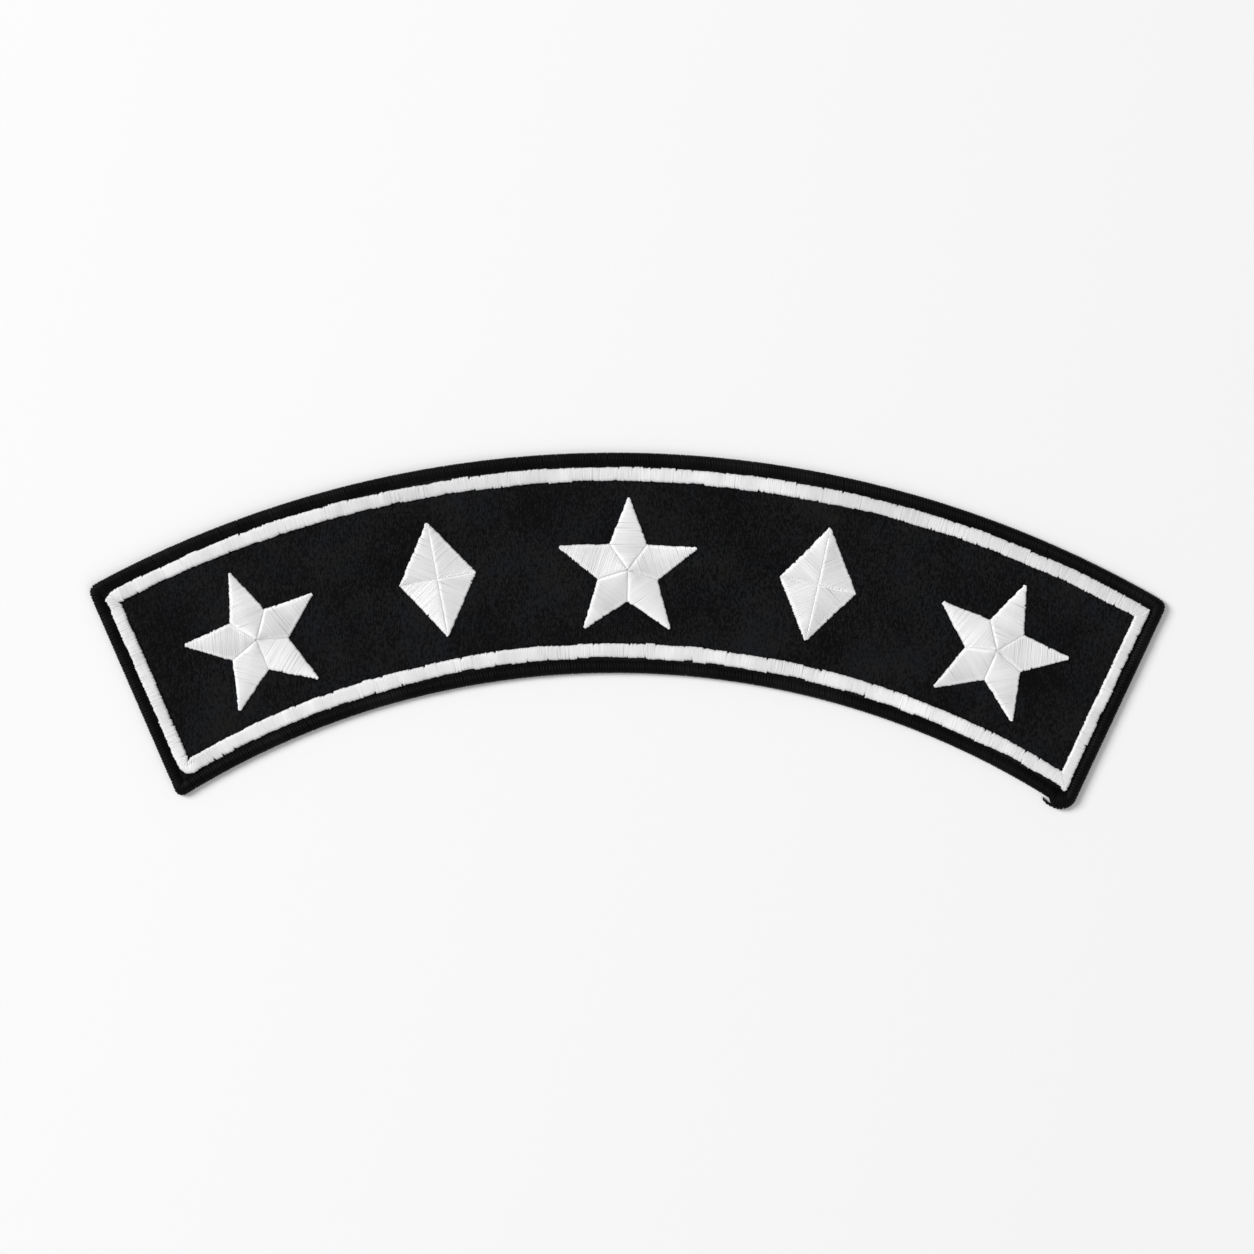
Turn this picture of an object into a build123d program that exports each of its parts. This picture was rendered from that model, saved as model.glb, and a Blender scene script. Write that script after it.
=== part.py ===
"""Embroidered rocker patch: an arched band of black twill, edged all round with an overlocked roll of
black thread, framed by a white satin-stitched line, with a row of white satin-stitched stars and lozenges.

It lies on its back with its face up. +X runs along the band to the right, +Y points to the crown of the
arch, +Z out of the face. The origin is the middle of the patch's bounding box, at its back.
"""
import math
import os

from build123d import *

# Outline of the finished patch, with its corners taken as sharp.
TOP_CHORD = 306.6  # between the two upper corners
TOP_RISE = 40.6  # crown of the upper edge above its corners
BAND_HEIGHT = 62.6  # upper edge to lower edge on the middle line
END_LENGTH = 65.3  # each straight end
END_SLANT = 24.3  # degrees that each end leans in towards the bottom
UPPER_CORNER_RADIUS = 2.4
LOWER_LEFT_CORNER_RADIUS = 2.4
LOWER_RIGHT_CORNER_RADIUS = 4.0  # the overlocking starts and ends here, so the corner is fuller

# Overlocked border: thread wrapped round the raw edge of the twill.
BORDER_REACH = 3.7  # how far it covers the face along the upper and lower edges
BORDER_END_REACH = 3.3  # the same along the two ends
BORDER_WRAP = 0.9  # thread outside the raw edge of the twill
BORDER_ABOVE_FACE = 0.9  # crest above the face of the twill
BORDER_BELOW_BACK = 0.45  # thread under the back of the twill
BORDER_OUTER_ROUND = 1.5
BORDER_INNER_ROUND = 0.7
BORDER_BACK_ROUND = 0.6

# Twill with its fused backing, one stiff sheet.
TWILL_THICKNESS = 1.2
THREAD_CLEARANCE = 0.05  # between any two pieces

# White satin-stitched line just inside the border.
GROOVE_WIDTH = 0.5  # bare twill between the border and the line
LINE_WIDTH = 4.1
LINE_END_WIDTH = 3.5
LINE_HEIGHT = 0.8
LINE_ROUND = 0.5
LINE_UPPER_LEFT_RADIUS = 2.8  # the line turns this corner in a curve, and the right corners are mitred
LINE_LOWER_LEFT_RADIUS = 2.2

# Row of satin-stitched motifs along the middle of the band: star, lozenge, star, lozenge, star.
MOTIF_NAMES = ["star_left", "lozenge_left", "star_middle", "lozenge_right", "star_right"]
MOTIF_MARGIN = 3.7  # bare twill between a motif's tips and the line
MOTIF_END_MARGIN = 38.5  # from the middle of each end to the middle of the outermost motif
MOTIF_EDGE_HEIGHT = 0.45
MOTIF_CREST_HEIGHT = 1.15
STAR_POINTS = 5
STAR_NOTCH_SHARE = 0.42  # notch radius as a share of tip radius
LOZENGE_WIDTH = 22.0
LOZENGE_TIP_MARGIN = 2.5  # a lozenge stops this much further from the line than a star does

# The two arcs, measured from the crown of the upper edge.
slant = math.radians(END_SLANT)
end_inward = Vector(math.sin(slant), math.cos(slant)) * -1
end_outward = Vector(math.cos(slant), -math.sin(slant))
upper_corner = Vector(TOP_CHORD / 2, -TOP_RISE)
lower_corner = upper_corner + end_inward * END_LENGTH
lower_rise = -BAND_HEIGHT - lower_corner.Y
upper_radius = (upper_corner.X**2 + TOP_RISE**2) / (2 * TOP_RISE)
lower_radius = (lower_corner.X**2 + lower_rise**2) / (2 * lower_rise)
upper_centre = Vector(0, -upper_radius)
lower_centre = Vector(0, -BAND_HEIGHT - lower_radius)

# Heights, from the surface that the patch lies on.
twill_back = BORDER_BELOW_BACK + THREAD_CLEARANCE
twill_face = twill_back + TWILL_THICKNESS
stitch_base = twill_face + THREAD_CLEARANCE
border_top = twill_face + BORDER_ABOVE_FACE

# Insets from the outline to the outside and the inside of the white line.
line_outside = BORDER_REACH + GROOVE_WIDTH
line_end_outside = BORDER_END_REACH + GROOVE_WIDTH
line_inside = line_outside + LINE_WIDTH
line_end_inside = line_end_outside + LINE_END_WIDTH


def end_meets_arc(centre, radius, end_inset):
    """The right-hand corner where the end, moved in by end_inset, meets an arc."""
    start = upper_corner - end_outward * end_inset - centre
    along = start.dot(end_inward)
    down = -along - math.sqrt(along**2 - start.dot(start) + radius**2)
    return start + end_inward * down + centre


def band(inset, end_inset, rounds=(0, 0, 0, 0)):
    """The patch's outline moved in, as a face. Rounds are upper left, upper right, lower right, lower left."""
    upper_right = end_meets_arc(upper_centre, upper_radius - inset, end_inset)
    lower_right = end_meets_arc(lower_centre, lower_radius + inset, end_inset)
    upper_left = Vector(-upper_right.X, upper_right.Y)
    lower_left = Vector(-lower_right.X, lower_right.Y)
    face = make_face(
        [
            ThreePointArc(upper_left, Vector(0, -inset), upper_right),
            Line(upper_right, lower_right),
            ThreePointArc(lower_right, Vector(0, inset - BAND_HEIGHT), lower_left),
            Line(lower_left, upper_left),
        ]
    )
    for corner, radius in zip((upper_left, upper_right, lower_right, lower_left), rounds):
        if radius > 0:
            face = fillet(face.vertices().sort_by_distance(corner)[0], radius)
    return face


def slab(face, bottom, top):
    """A face in the XY plane made solid between two heights."""
    return Pos(0, 0, bottom) * extrude(face, top - bottom)


def top_face(solid):
    """The face that a slab shows upwards."""
    return solid.faces().sort_by(Axis.Z)[-1]


def back_face(solid):
    """The face that a slab lies on."""
    return solid.faces().sort_by(Axis.Z)[0]


OUTLINE_ROUNDS = (
    UPPER_CORNER_RADIUS,
    UPPER_CORNER_RADIUS,
    LOWER_RIGHT_CORNER_RADIUS,
    LOWER_LEFT_CORNER_RADIUS,
)


def twill_ground():
    """The twill sheet, cut to the outline less the thread that wraps its edge."""
    rounds = [max(r - BORDER_WRAP, 0) for r in OUTLINE_ROUNDS]
    return slab(band(BORDER_WRAP, BORDER_WRAP, rounds), twill_back, twill_face)


def merrowed_border():
    """The overlocked roll: a rounded ring with a slot that holds the raw edge of the twill."""
    roll = slab(band(0, 0, OUTLINE_ROUNDS) - band(BORDER_REACH, BORDER_END_REACH), 0, border_top)
    roll = fillet(top_face(roll).outer_wire().edges(), BORDER_OUTER_ROUND)
    roll = fillet(top_face(roll).inner_wires()[0].edges(), BORDER_INNER_ROUND)
    roll = fillet(back_face(roll).outer_wire().edges(), BORDER_BACK_ROUND)
    slot_inset = BORDER_WRAP - THREAD_CLEARANCE
    slot_rounds = [max(r - slot_inset, 0) for r in OUTLINE_ROUNDS]
    slot = slab(
        band(slot_inset, slot_inset, slot_rounds),
        twill_back - THREAD_CLEARANCE,
        twill_face + THREAD_CLEARANCE,
    )
    return roll - slot


def frame_stitching():
    """The white line: one satin column that runs round the band inside the border."""
    outside = band(line_outside, line_end_outside, (LINE_UPPER_LEFT_RADIUS, 0, 0, LINE_LOWER_LEFT_RADIUS))
    inside = band(line_inside, line_end_inside)
    top = stitch_base + LINE_HEIGHT
    ring = slab(outside, stitch_base, top) - slab(inside, twill_face, top + LINE_HEIGHT)
    ring = fillet(top_face(ring).inner_wires()[0].edges(), LINE_ROUND)
    return fillet(top_face(ring).outer_wire().edges(), LINE_ROUND)


def faceted(points):
    """A satin-stitched motif: low walls round the outline, and facets that rise to a crest in the middle."""
    outline = make_face(Polyline(*points, close=True))
    walls = slab(outline, 0, MOTIF_EDGE_HEIGHT)
    crest = Vertex(0, 0, MOTIF_CREST_HEIGHT)
    facets = loft([Pos(0, 0, MOTIF_EDGE_HEIGHT) * outline, crest], ruled=True)
    return walls + facets


def star(tip_radius):
    """Tips and notches in turn, with one tip straight up."""
    step = math.pi / STAR_POINTS
    radii = [tip_radius, tip_radius * STAR_NOTCH_SHARE] * STAR_POINTS
    return faceted([(r * math.sin(i * step), r * math.cos(i * step)) for i, r in enumerate(radii)])


def lozenge(half_height):
    """Upright lozenge."""
    half_width = LOZENGE_WIDTH / 2
    return faceted([(0, half_height), (half_width, 0), (0, -half_height), (-half_width, 0)])


def motifs():
    """Each motif's name and solid, along the middle of the band."""
    end_middle = (upper_corner + lower_corner) * 0.5
    middle_line = ThreePointArc(
        Vector(-end_middle.X, end_middle.Y), Vector(0, -BAND_HEIGHT / 2), end_middle
    )
    motif_height = BAND_HEIGHT - 2 * (line_inside + MOTIF_MARGIN)
    star_radius = motif_height / (1 + math.cos(math.pi / STAR_POINTS))
    star_drop = star_radius - motif_height / 2
    pieces = {
        "star": Pos(0, -star_drop) * star(star_radius),
        "lozenge": lozenge(motif_height / 2 - LOZENGE_TIP_MARGIN),
    }
    pitch = (middle_line.length - 2 * MOTIF_END_MARGIN) / (len(MOTIF_NAMES) - 1)
    for i, name in enumerate(MOTIF_NAMES):
        along = (MOTIF_END_MARGIN + i * pitch) / middle_line.length
        place, heading = middle_line @ along, middle_line % along
        turn = math.degrees(math.atan2(heading.Y, heading.X))
        yield name, Pos(place.X, place.Y, stitch_base) * Rot(0, 0, turn) * pieces[name.split("_")[0]]


def main():
    os.makedirs("parts", exist_ok=True)
    middle = band(0, 0, OUTLINE_ROUNDS).bounding_box().center()
    pieces = {
        "twill_ground": twill_ground(),
        "merrowed_border": merrowed_border(),
        "frame_stitching": frame_stitching(),
        **dict(motifs()),
    }
    for name, piece in pieces.items():
        export_step(Pos(-middle.X, -middle.Y, 0) * piece, f"parts/{name}.step")


main()
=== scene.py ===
import math

import bpy
import numpy as np
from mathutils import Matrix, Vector, noise


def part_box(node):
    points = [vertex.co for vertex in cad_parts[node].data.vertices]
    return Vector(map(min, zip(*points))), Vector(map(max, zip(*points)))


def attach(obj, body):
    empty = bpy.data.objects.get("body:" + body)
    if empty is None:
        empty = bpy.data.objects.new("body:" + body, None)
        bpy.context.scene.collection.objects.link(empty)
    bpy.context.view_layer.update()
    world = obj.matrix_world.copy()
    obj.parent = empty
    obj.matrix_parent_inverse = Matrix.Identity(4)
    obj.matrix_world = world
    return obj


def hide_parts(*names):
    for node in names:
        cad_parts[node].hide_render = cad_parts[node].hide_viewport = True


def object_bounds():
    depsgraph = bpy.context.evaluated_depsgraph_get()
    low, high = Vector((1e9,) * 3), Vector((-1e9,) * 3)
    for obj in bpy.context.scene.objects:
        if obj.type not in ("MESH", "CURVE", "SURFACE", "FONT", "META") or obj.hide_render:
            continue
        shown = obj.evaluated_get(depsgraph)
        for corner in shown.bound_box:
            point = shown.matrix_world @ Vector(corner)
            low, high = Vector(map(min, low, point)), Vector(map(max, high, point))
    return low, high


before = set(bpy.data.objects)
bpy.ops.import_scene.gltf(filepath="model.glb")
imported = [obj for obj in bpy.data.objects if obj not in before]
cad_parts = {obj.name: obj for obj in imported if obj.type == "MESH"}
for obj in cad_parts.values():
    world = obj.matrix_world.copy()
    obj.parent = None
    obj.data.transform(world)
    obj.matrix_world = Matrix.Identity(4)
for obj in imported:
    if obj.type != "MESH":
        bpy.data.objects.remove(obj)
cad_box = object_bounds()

# Camera: it looks straight down on the patch's face, as the photograph does, and the patch fills most of the
# picture. The photograph shows the patch turned a little clockwise, so the camera turns the other way.
PATCH_TURN = math.radians(0.82)
PICTURE_WIDTH = 0.356  # metres, at the patch
LENS_MM = 90
SENSOR_MM = 36

camera_data = bpy.data.cameras.new("camera")
camera_data.lens = LENS_MM
camera_data.sensor_width = SENSOR_MM
camera = bpy.data.objects.new("camera", camera_data)
camera.location = (0, 0, PICTURE_WIDTH * LENS_MM / SENSOR_MM)
camera.rotation_euler = (0, 0, PATCH_TURN)
bpy.context.scene.collection.objects.link(camera)
bpy.context.scene.camera = camera

# Studio: a plain pale floor, one large soft light that rakes across the stitches from the left, a weaker one
# from the lower right, and an even white sky that fills the shadows.
FLOOR_REACH = 6.0  # metres
FLOOR_COLOUR = (0.80, 0.80, 0.80, 1)
SKY_COLOUR = (1.0, 1.0, 1.0, 1)
SKY_STRENGTH = 0.36
LIGHTS = [
    # name, place, width of the square softbox, watts
    ("key", (-3.80, 1.54, 3.30), 2.25, 304.0),
    ("fill", (2.60, -2.80, 3.15), 3.60, 68.0),
]


def new_material(name, roughness, specular):
    """A material with one Principled shader, its node tree and that shader."""
    material = bpy.data.materials.new(name)
    material.use_nodes = True
    shader = material.node_tree.nodes["Principled BSDF"]
    shader.inputs["Roughness"].default_value = roughness
    shader.inputs["Specular IOR Level"].default_value = specular
    return material, material.node_tree, shader


floor_mesh = bpy.data.meshes.new("floor")
floor_corners = [(x * FLOOR_REACH, y * FLOOR_REACH, 0) for x, y in ((-1, -1), (1, -1), (1, 1), (-1, 1))]
floor_mesh.from_pydata(floor_corners, [], [(0, 1, 2, 3)])
floor = bpy.data.objects.new("floor", floor_mesh)
bpy.context.scene.collection.objects.link(floor)
floor_material, _, floor_shader = new_material("pale_floor", roughness=0.85, specular=0.2)
floor_shader.inputs["Base Color"].default_value = FLOOR_COLOUR
floor_mesh.materials.append(floor_material)

world = bpy.data.worlds.new("studio")
world.use_nodes = True
world.node_tree.nodes["Background"].inputs["Color"].default_value = SKY_COLOUR
world.node_tree.nodes["Background"].inputs["Strength"].default_value = SKY_STRENGTH
bpy.context.scene.world = world
for name, place, width, watts in LIGHTS:
    lamp = bpy.data.lights.new(name, "AREA")
    lamp.size = width
    lamp.energy = watts
    light = bpy.data.objects.new(name, lamp)
    light.location = place
    light.rotation_euler = Vector(place).to_track_quat("Z", "Y").to_euler()
    light.visible_camera = False
    bpy.context.scene.collection.objects.link(light)
bpy.context.scene.view_settings.view_transform = "Standard"

# Twill ground: the arched sheet of black twill with a fused backing that makes it stiff. It is cut to the
# outline with a hot knife, its raw edge is hidden in the overlocked border, and the stitching draws it in.
MM = 0.001
TOP_CHORD = 306.6 * MM
TOP_RISE = 40.6 * MM
BAND_HEIGHT = 62.6 * MM
END_LENGTH = 65.3 * MM
END_SLANT = math.radians(24.3)
LINE_INSIDE = (8.3 * MM, 7.3 * MM)  # the white line's inner side, from the long edges and from the ends
MOTIFS = ["star_left", "lozenge_left", "star_middle", "lozenge_right", "star_right"]
RAW_EDGE = 1.6 * MM
CLOTH_STEP = 1.1 * MM
DRAWN_IN = 0.16 * MM  # how much lower the cloth lies where it is stitched
DRAWN_REACH = 2.2 * MM
BACK_RELIEF = 0.15 * MM  # how far the underside of the stitching stands out on the back
RIPPLE = 0.10 * MM
RIPPLE_LENGTH = 14 * MM
STITCHED_RIPPLE = 0.3  # how much of the ripple is left where the cloth is stitched
WARP_SPACING = 0.24 * MM
WEFT_SPACING = 0.32 * MM
WEAVE_REPEAT = 3.0  # wefts, of which a warp thread floats over all but one
WEAVE_RELIEF = 0.08 * MM
WEFT_HEIGHT = 0.55  # how high a weft stands, against a warp thread
THREAD_STRAY = 0.22 * MM  # how far the weave's threads stray
THREAD_STRAYS = 420.0  # a metre
CLOUD = 24 * MM  # size of the soft lighter and darker patches of the cloth
CLOUD_DEPTH = 2.6
FUZZ = 0.8 * MM
FUZZ_DEPTH = 2.6
FLOAT_DEPTH = 1.3  # how much one float differs from the next
DYED_FROM = 2.83  # where clouds, fuzz and floats together turn from the darkest black to the dyed one
TINGE = 8 * MM  # size of the cooler and warmer patches
TINGE_DEPTH = 4.0
TINGE_FROM = 1.5
TINGE_ASIDE = (0.5, 0.3, 0)  # metres, so that the tinge doesn't follow the clouds
# painted shade: how far the pits of the weave are darkened
PIT_SHADE_DEPTH = 0.9
TWILL_COOL = (0.0136, 0.0150, 0.0190, 1)
TWILL_WARM = (0.0154, 0.0153, 0.0143, 1)
TWILL_DARK = (0.0012, 0.0012, 0.0015, 1)
# the colour of the painted shade in the pits of the weave
TWILL_PIT_SHADE = (0.0008, 0.0008, 0.0009, 1)
LINT_CELL = 24 * MM
LINT_SIZE = 0.011  # as a share of the cell
LINT_SHARE = 0.2  # how many of the cells have a speck
LINT_CURL = 0.9 * MM  # how far a speck is bent out of round
LINT_CURLS = 900.0  # a metre
LINT_COLOUR = (0.10, 0.10, 0.10, 1)
BACKING_COLOUR = (0.009, 0.009, 0.0095, 1)
BACKING_GRAINS = 1500.0  # a metre
BACKING_RELIEF = 0.03 * MM
SAME_HEIGHT = 0.01 * MM  # corners of a solid this close in height belong together
SAME_PLACE = 0.001 * MM  # and this close in place they are one
PLAIN_DYE = 0.5  # the dye of what has no thread of its own

twill_back, twill_face = (corner.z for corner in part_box("twill_ground"))
crown = np.array([0, cad_box[1].y])
end_down = -np.array([math.sin(END_SLANT), math.cos(END_SLANT)])
end_out = np.array([math.cos(END_SLANT), -math.sin(END_SLANT)])
upper_corner = crown + (TOP_CHORD / 2, -TOP_RISE)
lower_corner = upper_corner + end_down * END_LENGTH
end_middle = (upper_corner + lower_corner) / 2
lower_rise = crown[1] - BAND_HEIGHT - lower_corner[1]
upper_radius = (upper_corner[0] ** 2 + TOP_RISE**2) / (2 * TOP_RISE)
lower_radius = (lower_corner[0] ** 2 + lower_rise**2) / (2 * lower_rise)
upper_centre = crown - (0, upper_radius)
lower_centre = crown - (0, BAND_HEIGHT + lower_radius)
MIRROR = np.array([-1, 1])


def upper_edge(along, inset):
    """A point on the upper edge moved in. Along runs clockwise round the patch from each edge's middle."""
    turn = np.asarray(along) / upper_radius
    reach = upper_radius - np.asarray(inset)
    return upper_centre + np.stack([reach * np.sin(turn), reach * np.cos(turn)], -1)


def lower_edge(along, inset):
    turn = np.asarray(along) / lower_radius
    reach = lower_radius + np.asarray(inset)
    return lower_centre + np.stack([-reach * np.sin(turn), reach * np.cos(turn)], -1)


def right_end(along, inset):
    along, inset = np.broadcast_arrays(along, inset)
    return end_middle + along[..., None] * end_down - inset[..., None] * end_out


def left_end(along, inset):
    return right_end(-np.asarray(along), inset) * MIRROR


EDGES = [upper_edge, right_end, lower_edge, left_end]


def edge_spans(insets):
    """Where each of the four edges, moved in, starts and stops, as distances along it."""
    inset, end_inset = insets
    start = upper_corner - end_out * end_inset
    stops = []
    for centre, reach in ((upper_centre, upper_radius - inset), (lower_centre, lower_radius + inset)):
        away = start - centre
        forward = away @ end_down
        stops.append(start - end_down * (forward + math.sqrt(forward**2 - away @ away + reach**2)))
    upper = upper_radius * math.atan2(*(stops[0] - upper_centre))
    lower = lower_radius * math.atan2(*(stops[1] - lower_centre))
    end = [(stop - end_middle) @ end_down for stop in stops]
    return [(-upper, upper), (end[0], end[1]), (-lower, lower), (-end[1], -end[0])]


def outline_of(node):
    """The corners of a motif's outline, in order round its crest, from the frame."""
    corners = np.array([v.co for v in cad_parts[node].data.vertices])
    crest = corners[np.argmax(corners[:, 2])]
    lowest = corners[corners[:, 2] < corners[:, 2].min() + SAME_HEIGHT][:, :2]
    lowest = np.unique(np.round(lowest / SAME_PLACE), axis=0) * SAME_PLACE
    away = lowest - crest[:2]
    return crest, lowest[np.argsort(np.arctan2(away[:, 0], away[:, 1]))]


def distance_to(points, corners):
    """How far each point lies from a closed outline, as a negative number inside it."""
    starts, stops = corners, np.roll(corners, -1, 0)
    run = stops - starts
    share = ((points[:, None] - starts) * run).sum(-1) / (run * run).sum(-1)
    nearest = starts + np.clip(share, 0, 1)[..., None] * run
    away = np.linalg.norm(points[:, None] - nearest, axis=-1).min(1)
    x, y = points[:, 0, None], points[:, 1, None]
    spans = (starts[:, 1] > y) != (stops[:, 1] > y)
    with np.errstate(divide="ignore", invalid="ignore"):
        crossing = x < starts[:, 0] + run[:, 0] * (y - starts[:, 1]) / run[:, 1]
    return np.where((spans & crossing).sum(1) % 2 == 1, -away, away)


def build(name, materials, *shells):
    """One smooth mesh object from shells. A shell is its places, its faces, the material of each face, the
    grain at each face's corners (millimetres along the thread and turns round it), the tone of each place
    from dyeing and painted sheen, and the way that the surface faces there, or zeros where its faces tell."""
    places, faces, looks, grain, dye_and_sheen, facing = [], [], [], [], [], []
    for shell_places, shell_faces, shell_looks, shell_grain, shell_dye, shell_facing in shells:
        count = sum(map(len, places))
        faces += [[corner + count for corner in face] for face in shell_faces]
        places.append(shell_places)
        looks += shell_looks
        grain.append(shell_grain)
        dye_and_sheen.append(shell_dye)
        facing.append(shell_facing)
    mesh = bpy.data.meshes.new(name)
    mesh.from_pydata(np.concatenate(places).tolist(), [], faces)
    for material in materials:
        mesh.materials.append(material)
    mesh.polygons.foreach_set("material_index", looks)
    mesh.polygons.foreach_set("use_smooth", [True] * len(faces))
    mesh.uv_layers.new(name="grain").data.foreach_set("uv", np.concatenate(grain).ravel())
    mesh.attributes.new("dye_and_sheen", "FLOAT", "POINT").data.foreach_set("value", np.concatenate(dye_and_sheen))
    mesh.normals_split_custom_set_from_vertices(np.concatenate(facing).tolist())
    piece = bpy.data.objects.new(name, mesh)
    bpy.context.scene.collection.objects.link(piece)
    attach(piece, "root")
    return piece


def plain_shell(places, faces, looks=None):
    """A shell with no thread of its own."""
    grain = np.concatenate([places[face, :2] for face in faces]) / MM
    dye_and_sheen = np.full(len(places), PLAIN_DYE)
    return places, faces, looks or [0] * len(faces), grain, dye_and_sheen, np.zeros_like(places)


def cloth_sheet():
    """The sheet as two grids, face and back, joined along the raw edge."""
    spans = edge_spans((RAW_EDGE, RAW_EDGE))
    columns = round(2 * spans[0][1] / CLOTH_STEP)
    rows = round(BAND_HEIGHT / CLOTH_STEP)
    across = np.linspace(0, 1, columns + 1)
    top = upper_edge(np.interp(across, (0, 1), spans[0]), RAW_EDGE)
    bottom = lower_edge(np.interp(across, (0, 1), spans[2][::-1]), RAW_EDGE)
    down = np.linspace(0, 1, rows + 1)[:, None, None]
    flat = (top * (1 - down) + bottom * down).reshape(-1, 2)
    insides = [
        upper_radius - np.linalg.norm(flat - upper_centre, axis=1) - LINE_INSIDE[0],
        np.linalg.norm(flat - lower_centre, axis=1) - lower_radius - LINE_INSIDE[0],
        (upper_corner - flat) @ end_out - LINE_INSIDE[1],
        (upper_corner - flat * MIRROR) @ end_out - LINE_INSIDE[1],
    ]
    outsides = [distance_to(flat, outline_of(node)[1]) for node in MOTIFS]
    free = np.clip(np.min(insides + outsides, axis=0) / DRAWN_REACH, 0, 1)
    free = free * free * (3 - 2 * free)
    ripple = np.array([noise.noise(Vector((x, y, 0)) / RIPPLE_LENGTH) for x, y in flat])
    ripple = RIPPLE * ripple * (STITCHED_RIPPLE + (1 - STITCHED_RIPPLE) * free)
    height = twill_face - DRAWN_IN * (1 - free) + ripple
    back_height = twill_back - BACK_RELIEF * (1 - free)
    places = np.concatenate([np.column_stack([flat, height]), np.column_stack([flat, back_height])])
    index = np.arange(len(flat)).reshape(rows + 1, columns + 1)
    face = np.stack([index[:-1, :-1], index[1:, :-1], index[1:, 1:], index[:-1, 1:]], -1).reshape(-1, 4)
    back = face[:, ::-1] + len(flat)
    rim = np.concatenate([index[0, ::-1], index[1:, 0], index[-1, 1:], index[-2:0:-1, -1]])
    wall = np.column_stack([rim, np.roll(rim, -1), np.roll(rim, -1) + len(flat), rim + len(flat)])[:, ::-1]
    faces = np.concatenate([face, back, wall]).tolist()
    return plain_shell(places, faces, [0] * len(face) + [1] * (len(back) + len(wall)))


def plug(tree, value, socket):
    """Links a socket to an input, or sets the input to a plain value."""
    if isinstance(value, bpy.types.NodeSocket):
        tree.links.new(value, socket)
    else:
        socket.default_value = value


def add_node(tree, kind, **set_to):
    """A node in the tree. A keyword that names a property sets it, and others set the input of that name."""
    node = tree.nodes.new(kind)
    for key, value in set_to.items():
        if hasattr(node, key):
            setattr(node, key, value)
        else:
            plug(tree, value, node.inputs[key.replace("_", " ")])
    return node


def sums(tree, operation, *values):
    """The result of a Math node."""
    node = tree.nodes.new("ShaderNodeMath")
    node.operation = operation
    for value, socket in zip(values, node.inputs):
        plug(tree, value, socket)
    return node.outputs[0]


def blend(tree, share, first, second):
    """The result of a colour Mix node."""
    node = tree.nodes.new("ShaderNodeMix")
    node.data_type = "RGBA"
    for value, socket in ((share, node.inputs[0]), (first, node.inputs[6]), (second, node.inputs[7])):
        plug(tree, value, socket)
    return node.outputs[2]


def rounded(tree, at):
    """0 at a thread's sides and 1 on its middle, where at counts threads."""
    share = sums(tree, "SUBTRACT", sums(tree, "FRACT", at), 0.5)
    return sums(tree, "SUBTRACT", 1.0, sums(tree, "MULTIPLY", sums(tree, "MULTIPLY", share, share), 4.0))


def weave_relief(tree, place):
    """Two and one twill: each warp thread floats over two wefts and dives under the third, one step on in
    each row, which draws the diagonal lines. The results are the threads' height, from 0 in the pits to 1,
    and a number from 0 to 1 for each float."""
    stray = add_node(tree, "ShaderNodeTexNoise", Vector=place, Scale=THREAD_STRAYS, Detail=1.0).outputs[0]
    apart = add_node(tree, "ShaderNodeSeparateXYZ", Vector=place)
    uneven = sums(tree, "MULTIPLY", sums(tree, "SUBTRACT", stray, 0.5), THREAD_STRAY)
    warp_at = sums(tree, "DIVIDE", sums(tree, "ADD", apart.outputs["X"], uneven), WARP_SPACING)
    weft_at = sums(tree, "DIVIDE", sums(tree, "SUBTRACT", apart.outputs["Y"], uneven), WEFT_SPACING)
    warp = sums(tree, "FLOOR", warp_at)
    row = sums(tree, "ADD", warp, sums(tree, "FLOOR", weft_at))
    warp_on_top = sums(tree, "GREATER_THAN", sums(tree, "FLOORED_MODULO", row, WEAVE_REPEAT), 0.5)
    floats = sums(tree, "MULTIPLY", warp_on_top, rounded(tree, warp_at))
    dives = sums(tree, "MULTIPLY", sums(tree, "SUBTRACT", 1.0, warp_on_top), rounded(tree, weft_at))
    one_float = add_node(tree, "ShaderNodeCombineXYZ", X=warp)
    plug(tree, sums(tree, "FLOOR", sums(tree, "DIVIDE", row, WEAVE_REPEAT)), one_float.inputs["Y"])
    each = add_node(tree, "ShaderNodeTexWhiteNoise", noise_dimensions="2D", Vector=one_float.outputs[0])
    return sums(tree, "ADD", floats, sums(tree, "MULTIPLY", dives, WEFT_HEIGHT)), each.outputs["Value"]


def lint_specks(tree, place):
    """A few pale specks of fluff, as black cloth always picks up."""
    bent = add_node(tree, "ShaderNodeTexNoise", Vector=place, Scale=LINT_CURLS).outputs["Color"]
    moved = add_node(tree, "ShaderNodeVectorMath", operation="MULTIPLY_ADD")
    for value, socket in ((bent, 0), ((LINT_CURL,) * 3, 1), (place, 2)):
        plug(tree, value, moved.inputs[socket])
    cells = add_node(tree, "ShaderNodeTexVoronoi", voronoi_dimensions="2D", Scale=1 / LINT_CELL)
    plug(tree, moved.outputs[0], cells.inputs["Vector"])
    chosen = add_node(tree, "ShaderNodeSeparateColor", Color=cells.outputs["Color"]).outputs["Red"]
    near = sums(tree, "LESS_THAN", cells.outputs["Distance"], LINT_SIZE)
    return sums(tree, "MULTIPLY", near, sums(tree, "LESS_THAN", chosen, LINT_SHARE))


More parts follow.
